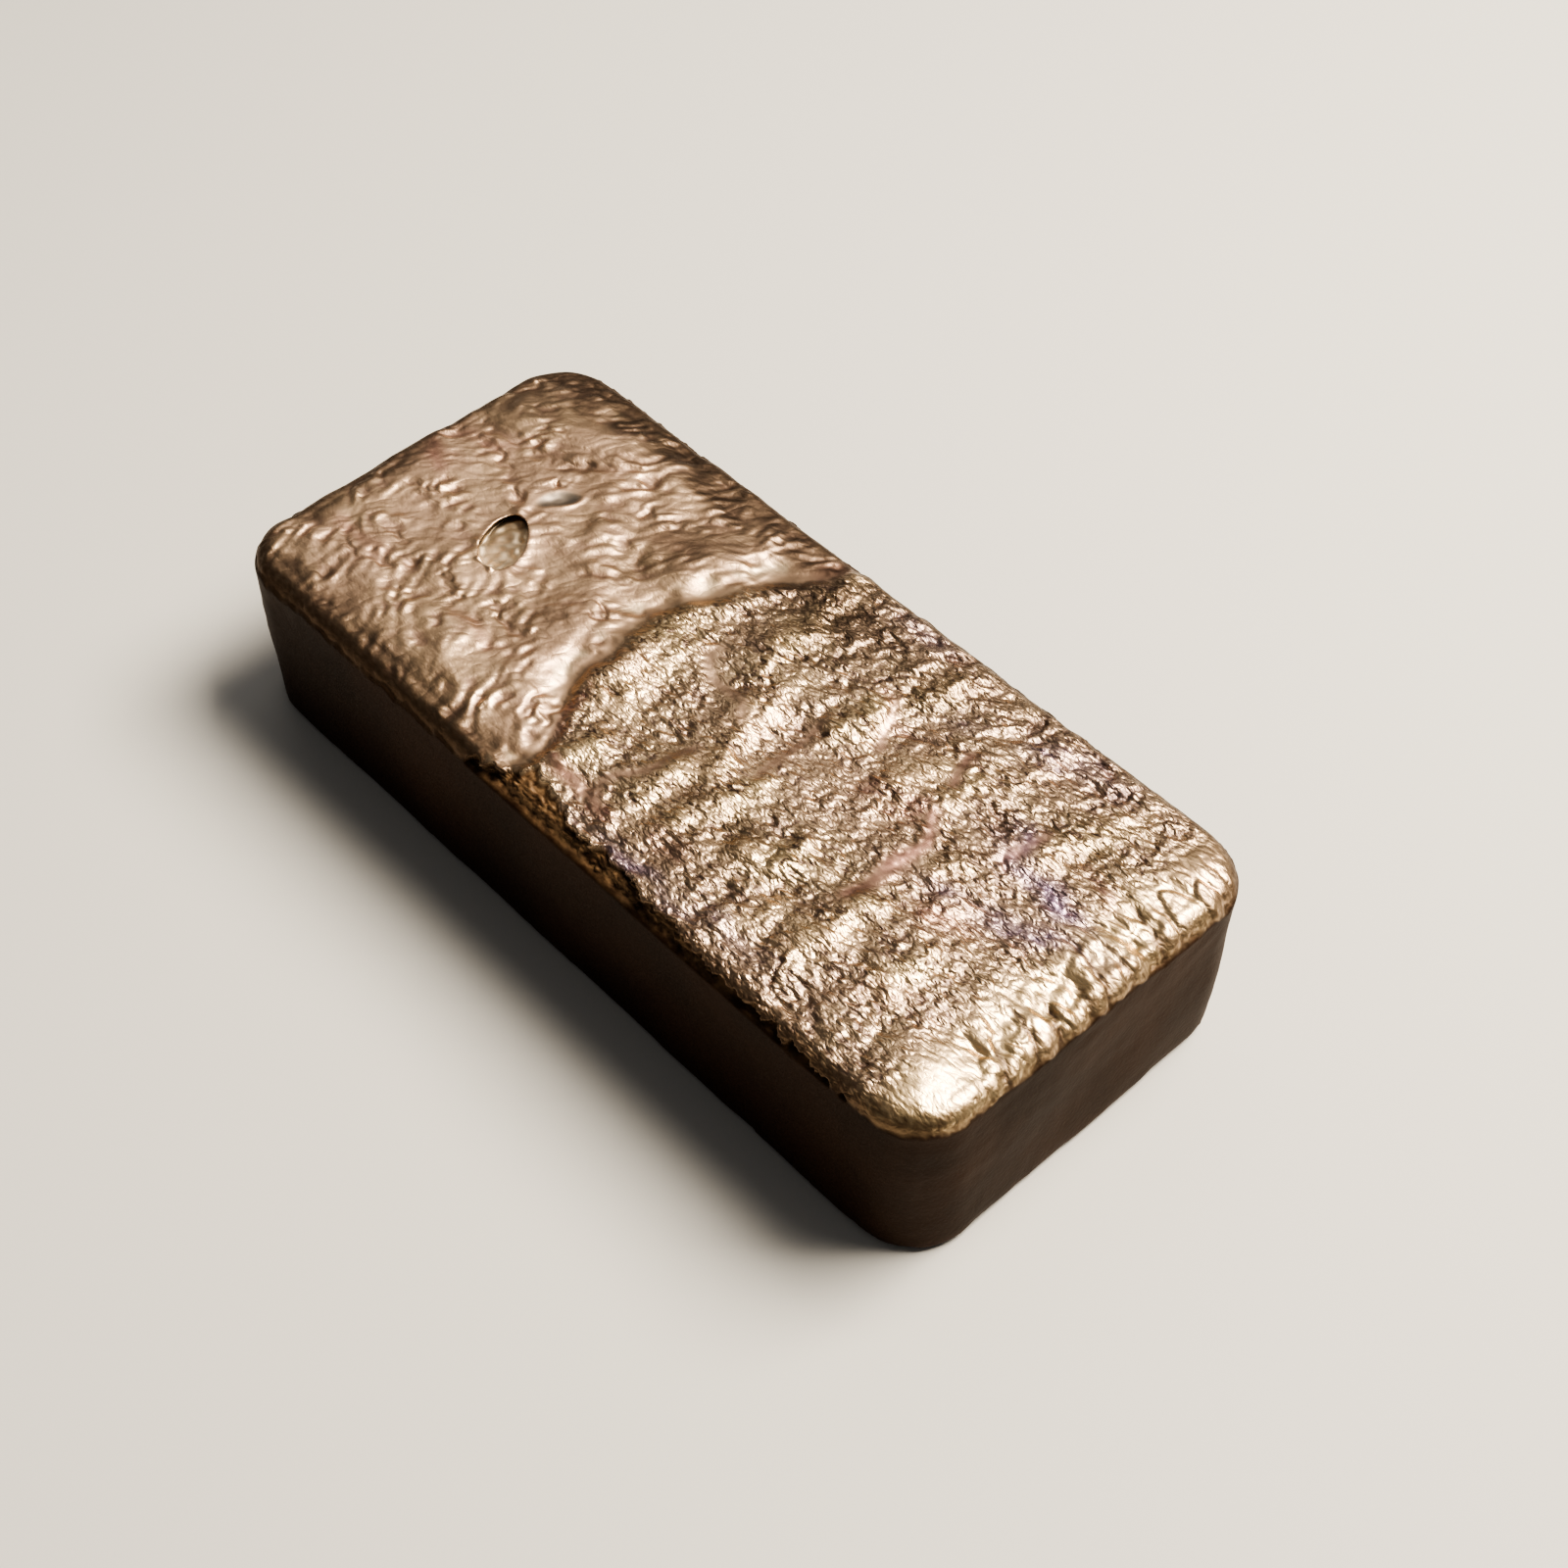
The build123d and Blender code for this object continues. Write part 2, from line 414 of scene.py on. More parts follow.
# Tarnish: darker brown patches of skin, given like the tints.
TARNISH = [
    (0, 17, 8, 6, 0, 0.85), (-18.5, 12, 8, 6, 14, 0.7), (-22, 5, 5, 3, 0, 0.4), (-48, 16, 5, 6, 0, 0.6),
    (-36.5, 11.5, 1.6, 2.2, -20, 0.6), (-31.5, -10.8, 4.0, 1.2, -10, 0.6), (-22, -7, 4.5, 2.4, 20, 0.4),
    (13.5, -10.4, 4.5, 2.4, 0, 0.5), (14, -17, 5.5, 2.6, 0, 0.35), (-10.5, 2, 1.6, 5.0, 0, 0.3),
    (16, 17, 8, 5, 0, 0.4), (38, 13, 11, 7, 0, 0.38), (33, 1, 6, 3.5, -10, 0.4), (42, -7, 5, 3.6, 0, 0.3),
    (1.2, 13.2, 3.2, 2.2, 0, 0.6), (25, -8, 3.0, 5.0, 10, 0.25),
]

# How far from the box round its points a crease or a pucker is still worked out.
CUT_REACH = 3.0

# Creases: (points, half width, depth).
CREASES = [
    ([(-45.8, -2.4), (-44.2, -3.1), (-43, -3.0)], 0.35, 0.22),
    ([(-47.5, -4.2), (-46, -3.6), (-44.8, -3.2)], 0.4, 0.16),
    ([(-41, -13.9), (-39.2, -13.9), (-37.2, -13.4)], 0.5, 0.3),
    ([(-44.5, -14.2), (-42.5, -15), (-40, -15.4)], 0.4, 0.2),
    ([(-43, -10.3), (-40.5, -10.2), (-39, -10.8)], 0.35, 0.16),
    ([(-35.4, -8.6), (-33.2, -9.6), (-31.5, -11.0), (-29.2, -11.2), (-27.4, -10.6)], 0.4, 0.16),
    ([(-25.6, -8.2), (-24.2, -9.6), (-21.8, -10), (-19, -10.1)], 0.5, 0.3),
    ([(-26.4, -10.5), (-25.4, -8.8), (-24.8, -7)], 0.4, 0.2),
    ([(-38.4, 4.4), (-37.2, 3.4), (-36, 3.0)], 0.45, 0.34),
    ([(-36.8, 9.2), (-36.4, 10.4), (-35, 12), (-33.2, 13.2), (-31.4, 13.6)], 0.6, 0.3),
    ([(-35.6, 8.4), (-34.9, 7.3)], 0.45, 0.5),
    ([(-52, 10), (-48, 8.6), (-44, 9.2), (-40.6, 9.6), (-37, 9)], 0.7, 0.26),
    ([(-48, 5.8), (-45, 6.6), (-42.4, 5.8), (-40.4, 5.2)], 0.5, 0.2),
    ([(-25, 14.2), (-25.2, 12.4), (-24.8, 10.4)], 0.4, 0.22),
    ([(-22.5, 1), (-20.6, 2.4), (-18.4, 3.4)], 0.45, 0.18),
    ([(-19.4, -1.2), (-17.8, -0.8), (-16, -1.8), (-17, -2.8), (-19, -2.6)], 0.3, 0.26),
    ([(-12.2, -12), (-12.4, -14), (-11.6, -16.2), (-10.4, -16.8)], 0.35, 0.24),
    ([(-11, -12), (-9.6, -14.4), (-8.8, -16.6)], 0.3, 0.18),
    ([(28.2, 9.6), (30.4, 9.0), (32, 8.2), (33.4, 7.2)], 0.4, 0.42),
    ([(34.4, 5.6), (35.6, 4.4), (36.4, 3.6)], 0.35, 0.24),
    ([(33.2, -2.4), (34.6, -1), (36.6, -0.2), (39.4, 0.4)], 0.4, 0.24),
    ([(16, 9.6), (17.8, 10.6), (19.8, 11)], 0.35, 0.26),
    ([(15.2, -7.2), (17.2, -8.2), (19.2, -8.8)], 0.4, 0.2),
    ([(17.6, -16.2), (20.4, -16.6), (22.6, -16.2)], 0.5, 0.22),
    ([(28, -18.4), (29.6, -20), (30.6, -22)], 0.35, 0.3),
    ([(33, -19.2), (35, -20.4), (37.2, -22.6)], 0.45, 0.24),
    ([(11.4, 20.4), (13.4, 22.2), (15.2, 24.6)], 0.5, 0.4),
    ([(24.4, 18.4), (25, 20.6), (24.2, 23.6)], 0.45, 0.34),
    ([(29, 21.8), (31, 22.4), (33, 22), (34.4, 21)], 0.5, 0.3),
    ([(36.2, 18), (37.2, 20.4), (38.2, 24)], 0.5, 0.32),
    ([(35.4, 15), (36.2, 17.4), (36.6, 19.4)], 0.4, 0.22),
    ([(4.4, 20.4), (4.6, 22.6), (5.4, 24.4)], 0.5, 0.28),
    ([(-9.4, -9.4), (-8, -8.6), (-6.4, -8.2)], 0.35, 0.24),
    ([(-3.8, 6.4), (-2, 6.8), (-0.2, 6.2)], 0.4, 0.22),
    ([(-2.8, -1), (-1.4, -2), (-0.4, -2.8)], 0.4, 0.22),
    ([(4.6, -4.8), (6.8, -4.4), (8.8, -4.7)], 0.35, 0.22),
]

# Puckers of the +X shoulder: (start x, start y, y at the wall, depth).
PUCKERS = [
    (46.8, 16.8, 15.6, 0.16), (45.2, 12.4, 11.6, 0.18), (44.6, 10.8, 8.6, 0.30), (46.4, 5.6, 4.2, 0.2),
    (43.4, 3.6, 0.7, 0.34), (47.4, 0.2, -1.2, 0.24), (46.8, -3.0, -6.2, 0.3), (45.0, -6.0, -9.0, 0.32),
    (47.0, -9.8, -13.4, 0.34), (49.6, -14.0, -15.2, 0.16),
]

# Torn lip along the -Y edge: where the skin stops, (x, y), before its ragged noise.
LIP = [(-12, -24.6), (-8.6, -23.4), (-6.4, -21.6), (-4.8, -20.3), (-3.8, -21.1), (0, -21.4), (2.6, -22.3),
       (3.8, -23.0), (5.4, -22.3), (7.6, -21.9), (11, -22.4), (15, -23.4), (18.6, -23.2), (21.4, -23.8),
       (26, -24.6), (33, -24.4), (41, -25.2), (49, -27.0)]


def local_axes(x, y, centre, angle):
    """Places turned into a frame at centre whose first axis lies at angle."""
    c, s = math.cos(math.radians(angle)), math.sin(math.radians(angle))
    dx, dy = x - centre[0], y - centre[1]
    return dx * c + dy * s, dy * c - dx * s


def ellipse(x, y, centre, long, short, angle):
    """0 at the centre of a turned ellipse, 1 on its outline and more outside it."""
    p, q = local_axes(x, y, centre, angle)
    return np.hypot(p / long, q / short)


def patches(places, x, y):
    """How much a place lies in any of the soft elliptic patches, 0 to about 1."""
    value = np.zeros(x.shape)
    for at_x, at_y, long, short, angle, amount in places:
        ring = ellipse(x, y, (at_x, at_y), long, short, angle)
        value = np.maximum(value, amount * bell(ring, 1.0))
    return value


def lap_form(lap, u, v):
    """The lap: the first pour's bank slopes down into a narrow valley, then the second pour's
    front rises. Also the bank's flank, where it shines, and the noise that it wavers by."""
    uneven = sample(noise_field(32, 5, 3.4), u, v)
    stretch = sample(noise_field(33, 14, 10), u, v)
    bank_top = -3.1 - 0.5 * stretch - 0.25 * uneven
    rise = smooth(0.2, 2.2 + 0.3 * uneven, lap)
    depth = np.clip(0.40 + 0.12 * stretch + 0.05 * uneven, 0.2, 0.8)
    bank = -depth * smooth(bank_top, -0.4, lap) * (1 - rise)
    front = 0.14 * rise + 0.14 * bell(lap - 2.2, 1.4)
    flank = smooth(bank_top - 0.6, bank_top + 0.6, lap) * smooth(-0.2, -0.9, lap)
    shine = bell(lap + 1.6, 0.9) * smooth(-0.7, 0.5, stretch + 0.7 * uneven)
    return bank, front, flank, shine, uneven


def add_swells(height, flank, wu, wv):
    """The height with its swells, and how much a place is on a steep flank or on a crest."""
    crest = np.zeros(wu.shape)
    for points, width, swell in SWELLS:
        d, along = curve_distance(wu, wv, points, 4.0 * width)
        ends = smooth(0.0, 0.2, along) * smooth(1.0, 0.8, along)
        side = np.where(d > 0, bell(d, 0.85 * width), bell(d, 1.6 * width))
        height = height + 1.65 * swell * side * (0.3 + 0.7 * ends)
        flank = np.maximum(flank, bell(d - 0.6 * width, 0.7 * width) * ends)
        crest = np.maximum(crest, bell(d - 0.1 * width, 1.25 * width) * (0.3 + 0.7 * ends))
    return height, flank, crest


def second_pour_folds(u, v, wu, wv, crest):
    """Sharp short folds along the bar, that turn near its +X end, and how much they shade it."""
    towards_end = smooth(28, 44, u)
    plates, _ = facets(41, wu, wv, 1.6, 0.9, 14, 0.06, 0.08)
    small, small_in = facets(43, u, v, 1.1, 0.6, 10, 0.11, 0.18)
    stroke = sample(noise_field(38, 3.0, 1.25, 13, 0.5), u, v) * (1 - towards_end)
    stroke = stroke + sample(noise_field(39, 3.4, 1.3, -12, 0.5), u, v) * towards_end
    broken = smooth(-0.5, 0.6, sample(noise_field(40, 2.2, 1.5), u, v))
    strokes = bell(stroke, 0.34) * broken
    folds = 1.3 * plates + (1 - 0.2 * crest) * small - 0.02 * (1 - small_in) - 0.085 * strokes
    return folds, 1.5 * strokes + 0.7 * (1 - small_in)


def first_pour_lumps(u, v, wu, wv):
    """Soft lumps that lean one way on the +Y side and the other way on the -Y side."""
    side = smooth(-8, 2, v)
    lean_up = sample(noise_field(44, 4.4, 2.1, 57, 0.5), wu, wv)
    lean_down = sample(noise_field(45, 4.4, 2.1, -62, 0.5), wu, wv)
    small, _ = facets(46, u, v, 1.5, 0.9, 50, 0.05, 0.06)
    return 0.055 * (lean_up * side + lean_down * (1 - side)) + small


def smooth_strips(wu, wv):
    """How much a place lies on a smooth strip, and how pink the strip is there."""
    strip, rose = np.zeros(wu.shape), np.zeros(wu.shape)
    for points, width, pink in STRIPS:
        d, along = curve_distance(wu, wv, points, 4.0 * width)
        here = bell(d, width) * smooth(0.0, 0.15, along) * smooth(1.0, 0.85, along)
        strip = np.maximum(strip, here)
        rose = np.maximum(rose, pink * here)
    return strip, rose


def wrinkling(u, v, lap, strip, shine, dimple):
    """1 where the skin wrinkles, less on the lap, strips, dome and +X end and in the dimple."""
    wrinkled = (1 - 0.85 * bell(lap - 0.2, 0.95)) * (1 - 0.75 * strip) * (1 - 0.35 * shine)
    wrinkled = wrinkled * (1 - 0.85 * bell(np.hypot(u - SMOOTH_SPOT[0], v - SMOOTH_SPOT[1]), 3.6))
    wrinkled = wrinkled * (1 - 0.85 * smooth(43.5, 48, u))
    return wrinkled * smooth(0.8, 1.6, dimple)


def tarnish_and_painted_shade(u, v, wu, wv, first):
    """How dark the skin is made: tarnished in patches, and painted shade along the +Y, -Y and -X edges.
    """
    blotch = 1.2 * sample(noise_field(54, 7, 5, 25), u, v)
    # Painted shade: darker along the +Y, -Y and -X edges.
    edges = np.maximum((0.25 + 0.6 * first) * smooth(14.5, 20.5, v + blotch),
                       (0.1 + 0.65 * first) * smooth(-18.6, -21.6, v - 0.6 * blotch))
    edges = np.maximum(edges, 0.65 * smooth(-47.5, -51.5, u + blotch))
    return np.maximum(patches(TARNISH, wu + blotch, wv + blotch), edges)


def add_cuts(height, u, v):
    """The height with its single creases and puckers, and how deep they cut."""
    jitter = 0.22 * sample(noise_field(52, 2.2, 2.2), u, v)
    cut = np.zeros(u.shape)
    for points, width, depth in CREASES:
        d, along = curve_distance(u + jitter, v + jitter, points, CUT_REACH)
        ends = 0.25 + 0.75 * smooth(0.0, 0.3, along) * smooth(1.0, 0.7, along)
        cut = np.minimum(cut, -0.9 * depth * ends * bell(d, width))
        height = height + 0.2 * depth * ends * bell(np.abs(d) - 2.2 * width, width)
    puff = np.zeros(u.shape)
    for start_x, start_y, wall_y, depth in PUCKERS:
        middle = ((start_x + HALF_L) / 2 + 0.4, start_y * 0.62 + wall_y * 0.38)
        line = [(start_x, start_y), middle, (HALF_L + 3.2, wall_y)]
        d, along = curve_distance(u, v + 0.5 * jitter, line, CUT_REACH)
        grow = smooth(0.0, 0.45, along)
        cut = np.minimum(cut, -0.8 * depth * grow * (0.55 * bell(d, 0.22) + 0.45 * bell(d, 0.8)))
        puff = np.maximum(puff, depth * grow * bell(np.abs(d) - 1.3, 0.9))
    return height + cut + 0.6 * puff, cut


def add_blemishes(height, u, v, dimple):
    """The height with the dimple and its thin rim, the blister's lips, the nodule and the flake."""
    _, q = local_axes(u, v, DIMPLE, DIMPLE_ANGLE)
    rim = 0.16 * bell(dimple - 1.08, 0.16) * smooth(0.8, -0.4, q)
    height = height - 0.42 * smooth(1.0, 0.2, dimple) + rim
    ring = ellipse(u, v, BLISTER, BLISTER_LONG, BLISTER_SHORT, BLISTER_ANGLE) / BLISTER_GRID
    height = height + 0.16 * bell(ring - 1.0, 0.16)
    height = height + 0.34 * bell(ellipse(u, v, NODULE, 1.3, 0.62, 8.0), 1.0)
    p, q = local_axes(u, v, FLAKE, -3.0)
    return height + 0.36 * smooth(1.15, 0.85, np.abs(p) / 1.5) * smooth(1.3, 0.8, np.abs(q) / 0.5)


def skin_relief(u, v, past):
    """Height of the open face's skin over the plain bar, and how strongly each look shows."""
    warp_x = sample(noise_field(11, 9, 7), u, v)
    warp_y = sample(noise_field(12, 7, 9), u, v)
    wu, wv = u + 0.3 * warp_x, v + 0.3 * warp_y

    # Signed distance to the lap, positive on the second pour.
    lap, _ = curve_distance(wu * 0.35 + u * 0.65, wv * 0.35 + v * 0.65, LAP)
    second = smooth(-0.3, 0.8, lap)
    first = 1 - second

    # Broad form: a soft crown that falls away to the edges, slow lumps, the lap and the swells.
    inset = np.minimum(HALF_L - SHOULDER - np.abs(u), HALF_W - SHOULDER - np.abs(v))
    crown = -0.55 * np.exp(-np.maximum(inset, 0) / 2.6) - 0.10
    slow = 0.13 * sample(noise_field(21, 24, 15), u, v) + 0.075 * sample(noise_field(22, 9, 8), wu, wv)
    bank, front, flank, shine, uneven = lap_form(lap, u, v)
    height, flank, crest = add_swells(crown + slow + bank + front, flank, wu, wv)

    # Cross ripples of the second pour, that follow its front.
    ripple = sample(noise_field(31, 4.6, 17, 0, 0.35), lap + 0.12 * wu, wv)
    height = height + 0.06 * ripple * second * smooth(3, 8, lap)

    # Wrinkles of both pours, and bigger folds by the far edge. They fade out down the side.
    dimple = ellipse(u, v, DIMPLE, DIMPLE_LONG, DIMPLE_SHORT, DIMPLE_ANGLE)
    strip, rose = smooth_strips(wu, wv)
    wrinkled = wrinkling(u, v, lap, strip, shine, dimple)
    folds, fold_shade = second_pour_folds(u, v, wu, wv, crest)
    lumps = first_pour_lumps(u, v, wu, wv)
    patch = sample(noise_field(51, 9, 7), u, v)
    crumple = np.clip(1.05 + 0.35 * patch - 0.3 * flank * second, 0.3, 1.6)
    lumpy = np.clip(0.9 + 0.55 * sample(noise_field(53, 10, 6, 40), u, v), 0.3, 2.0)
    fine = wrinkled * (crumple * second * folds + lumpy * first * lumps)
    far_edge = smooth(15, 20, v) * smooth(3, 8, u) * smooth(44, 38, u)
    big_folds, _ = facets(47, wu, wv, 4.6, 2.0, 50, 0.2, 0.4)
    fine = fine + 0.4 * far_edge * big_folds
    fine = fine * (1 - 0.75 * smooth(0.8, 2.8, past))
    height = height + fine

    # Pleats of the +X end, drawn out along the bar, and the dome of its near corner.
    pleated = smooth(43.5, 49.5, u) * smooth(23, 18, v) * smooth(-15, -11, v)
    dome = bell(np.hypot((u - DOME[0]) / 4.6, (v - DOME[1]) / 4.2), 1.0)
    pleat, pleat_in = facets(48, u + 1.5 * uneven, v, 8.0, 2.7, -4, 0.04, 0.22)
    height = height + pleated * (1.15 * pleat - 0.26 * (1 - pleat_in)) + 0.32 * dome

    height, cut = add_cuts(height, u, v)
    height = add_blemishes(height, u, v, dimple)

    # Dark oxide and painted shade lie in the folds, in the valleys between lumps and in the cuts.
    shaded = second * wrinkled * crumple * fold_shade
    shaded = shaded + first * wrinkled * smooth(0.02, -0.09, lumps) * lumpy
    shaded = shaded + 1.1 * smooth(-0.02, -0.22, cut)
    looks = {
        "oxide_and_shade": np.clip(0.6 - 1.1 * shaded, -1.2, 1),
        "second": second,
        "fold": np.maximum(bell(lap - 0.1, 1.0), strip),
        # Painted highlight: the lap's bank is made paler where it shines.
        "bank": shine,
        # Painted shade: the second pour is darker between its swells' crests, except at the +X end.
        "swell_valley_shade": second * (1 - crest) * smooth(48, 43, u),
        # Painted reflection: the dimple is tinted blue-grey as if it mirrored cool light.
        "dimple_reflection": smooth(1.05, 0.7, dimple),
        "rose": np.maximum(rose, patches(ROSES, wu, wv)),
        "violet": patches(VIOLETS, wu, wv),
        # Tarnished patches and painted shade along the edges, kept off the bank's painted highlight.
        "tarnish_and_edge_shade": tarnish_and_painted_shade(u, v, wu, wv, first) * (1 - 0.7 * shine),
    }
    return height, looks, wrinkled


def torn_lip(u, v, past):
    """How far the surface lies inside the torn ledge (0 to 1), the ledge's own roughness and
    the curl of the skin's edge beside it."""
    rag = 0.32 * sample(noise_field(61, 2.4, 2.4), u, np.zeros(u.shape))
    rag = rag + 0.16 * sample(noise_field(62, 0.9, 0.9), u, np.zeros(u.shape))
    xs, ys = np.array(LIP).T
    line = np.interp(u, xs, ys, left=-40, right=-40) + rag
    beyond = line - v
    inside = smooth(-0.12, 0.22, beyond)
    ledge = inside * smooth(LEDGE_END, SKIN_END, past)
    rough = 0.16 * creased(sample(noise_field(63, 1.9, 0.9, 8), u, v))
    curl = 0.14 * bell(beyond + 0.35, 0.4) * (beyond < 0.2)
    return ledge, rough, curl


def dig_blister(points, u, v):
    """Opens the blister: its -X wall runs back under the skin, its floor rises to the other
    side. Also how much a place is in the pit, and where a shadow is painted in the undercut under the
    skin."""
    p, q = local_axes(u, v, BLISTER, BLISTER_ANGLE)
    ring = np.hypot(p / BLISTER_LONG, q / BLISTER_SHORT)
    near = ring < BLISTER_REACH
    heading = np.arctan2(v - BLISTER[1], u - BLISTER[0])
    under = smooth(-0.25, 0.75, np.cos(heading - math.radians(UNDERCUT_HEADING)))
    steps = [0, 0.45, 0.75, 1.0, 1.15, BLISTER_GRID, BLISTER_REACH]
    reach_under = np.interp(ring, steps, [0, 0.8, 1.14, 1.16, 1.06, 1.0, BLISTER_REACH])
    reach_open = np.interp(ring, steps, [0, 0.5, 0.78, 0.9, 0.96, 1.0, BLISTER_REACH])
    part_under = np.interp(ring, steps, [1.0, 1.0, 0.85, 0.45, 0.15, 0, 0])
    part_open = np.interp(ring, steps, [1.0, 1.0, 0.9, 0.5, 0.2, 0, 0])
    reach = under * reach_under + (1 - under) * reach_open
    slant = np.clip(1 - q / BLISTER_SHORT, 0, 2) / 2
    deep = (under * part_under + (1 - under) * part_open) * (0.22 + 1.75 * slant)
    scale = np.where(ring > 1e-6, reach / np.maximum(ring, 1e-6), 0.0)
    shift = np.clip(1 - ring / BLISTER_GRID, 0, 1)
    dx = (u - BLISTER[0]) * (scale - 1) - 0.9 * shift
    dy = (v - BLISTER[1]) * (scale - 1) + 0.5 * shift
    floor = 0.10 * sample(noise_field(71, 1.5, 1.2, 30), u, v) * smooth(1.1, 0.7, ring)
    moved = points.copy()
    moved[:, 0] += np.where(near, dx, 0)
    moved[:, 1] += np.where(near, dy, 0)
    moved[:, 2] += np.where(near, floor - deep, 0)
    pit = np.where(near, smooth(BLISTER_GRID, BLISTER_GRID - 0.12, ring), 0)
    return moved, pit, under * smooth(0.5, 0.95, ring) * smooth(1.22, 1.08, ring)


def puffed_side(normals):
    """1 on the +X end, 0 on the other sides."""
    return smooth(0.55, 0.95, normals[:, 0])


def mould_walls(points, normals, puffed):
    """Relief of the mould's faces: gentle waves, faint casting unevenness and a worn, chipped
    foot. Also how worn the foot is."""
    heading = np.arctan2(normals[:, 1], normals[:, 0])
    z = points[:, 2]
    # Along the walls; the ends read the noise 60 mm away from where the long sides do.
    along = np.where(np.abs(np.sin(heading)) > 0.7, points[:, 0], points[:, 1] + 60)
    wall = 0.07 * sample(noise_field(81, 26, 18), along, z)
    wall = wall + 0.016 * sample(noise_field(82, 4.5, 3.5), along, z)
    chips = np.minimum(sample(noise_field(83, 4.0, 3.0), along, z) + 0.5, 0)
    wall = wall + 0.13 * chips * bell(z - 0.4, 1.1)
    wall = wall + 0.02 * creased(sample(noise_field(84, 1.3, 1.0), along, z)) * bell(z - 0.5, 1.4)
    worn = bell(z - 0.7, 0.4) * smooth(-1.2, 1.4, sample(noise_field(85, 4.0, 1.0), along, z))
    on_base = normals[:, 2] < -0.5
    wall = np.where(on_base, np.minimum(wall, 0) * 0.2, wall)
    return wall, worn * (0.25 + 0.75 * puffed)


def make_ingot():
    """The bar as one mesh, with a value at each vertex for each look of its material."""
    points, normals, flat, past, quads, triangles = plain_bar()
    u, v = flat[:, 0], flat[:, 1]
    puffed = puffed_side(normals)
    height, looks, wrinkled = skin_relief(u, v, past)
    ledge, rough, curl = torn_lip(u, v, past)
    wall, worn = mould_walls(points, normals, puffed)

    # The skin ends in a ragged edge at the top of the walls, a little proud of them.
    skin_end = SKIN_END + 0.16 * sample(noise_field(64, 3.2, 3.2), u, v)
    skin_end = skin_end + 0.06 * sample(noise_field(65, 1.0, 1.0), u, v)
    skin = smooth(0.28, -0.28, past - skin_end)
    overhang = 0.10 + 0.05 * puffed
    edge_fade = smooth(0.0, 1.6, past)
    on_side = past > 0.01
    height = np.where(on_side, height * (1 - 0.35 * edge_fade), height)
    height = height + np.where(on_side, overhang * smooth(1.2, 3.2, past), 0)

    # Next to the mould the skin is darker, partly soot and partly painted shade over the shoulder; least
    # so on the puffed +X end.
    speckle = 0.35 * sample(noise_field(66, 1.4, 0.7, 0, 0.5), u, v)
    sooty_and_shaded = smooth(0.2, 2.8, past + speckle - 1.15 * puffed)

    relief = skin * height + (1 - skin) * wall
    relief = relief + skin * curl
    ledge_depth = ledge * (0.72 + 0.35 * smooth(0, 1.5, past)) * (0.8 + 0.2 * rough)
    relief = relief - ledge_depth + ledge * rough * 0.8
    moved = points + normals * relief[:, None]
    face, pit, hollow = dig_blister(moved, u, v)
    on_flat = past < 0.01
    moved = np.where(on_flat[:, None], face, moved)
    moved[:, 2] = np.maximum(moved[:, 2], 0.0)

    mesh = bpy.data.meshes.new("ingot_casting")
    mesh.from_pydata((moved * MM).tolist(), [], quads.tolist() + triangles.tolist())
    mesh.polygons.foreach_set("use_smooth", np.ones(len(mesh.polygons), bool))
    values = {name: look * skin for name, look in looks.items()}
    values["skin"] = skin * (1 - ledge)
    values["ledge"] = ledge
    values["wrinkled"] = wrinkled
    values["pit"] = np.where(on_flat, pit, 0)
    # Painted shadow in the blister's undercut.
    values["hollow"] = np.where(on_flat, hollow, 0)
    values["sooty_and_shaded"] = sooty_and_shaded
    values["worn"] = worn
    for name, value in values.items():
        attribute = mesh.attributes.new(name, "FLOAT", "POINT")
        attribute.data.foreach_set("value", value.astype(np.float32))
    mesh.validate()
    mesh.update()
    ingot = bpy.data.objects.new("ingot_casting", mesh)
    bpy.context.scene.collection.objects.link(ingot)
    return ingot


# ---------------------------------------------------------------- material
# Colours, in pairs where noise mixes one into the other.
CRESTS = (0.95, 0.73, 0.455), (0.91, 0.66, 0.44)
# Valleys: brown oxide with painted shade, laid into folds, valleys and cuts.
VALLEY_OXIDE_AND_SHADE = (0.145, 0.105, 0.084), (0.19, 0.138, 0.11)
FIRST_POUR = (0.56, 0.385, 0.29), (0.78, 0.555, 0.42)
# Painted shade between the swells of the second pour.
SWELL_VALLEY_SHADE = (0.45, 0.325, 0.262)
FOLD = (0.56, 0.40, 0.29)
# Painted highlight on the lap's bank.
BANK_HIGHLIGHT = (0.94, 0.80, 0.58)
ROSE = (0.62, 0.31, 0.27)
VIOLET = (0.36, 0.27, 0.44)
PIT = (0.74, 0.64, 0.50)
# Painted reflection: the dimple's blue-grey.
DIMPLE_REFLECTION = (0.27, 0.265, 0.25)
# Tarnished patches, and painted shade at the face's edges.
TARNISH_AND_SHADE = (0.108, 0.074, 0.056)
# Soot with painted shade over the shoulders.
SOOT_AND_SHADE = (0.11, 0.07, 0.045)
# Painted shadow under the blister's skin.
UNDERCUT_SHADOW = (0.035, 0.028, 0.022)
# Mould faces: brown oxide, darkened further as painted shade.
MOULD_OXIDE_AND_SHADE = (0.026, 0.0118, 0.005), (0.045, 0.0195, 0.0083)
SPECKS = (0.11, 0.06, 0.035)
TORN = (0.08, 0.045, 0.025), (0.36, 0.23, 0.13)
WORN = (0.13, 0.072, 0.044)

# Height of the fine relief, in metres.
FOIL_HEIGHT = 0.00017
GRAIN_HEIGHT = 0.00005

# The values that the mesh carries at its vertices.
MASKS = ("skin", "ledge", "oxide_and_shade", "second", "fold", "bank", "swell_valley_shade", "wrinkled", "pit", "dimple_reflection",
         "hollow", "rose", "violet", "tarnish_and_edge_shade", "sooty_and_shaded", "worn")


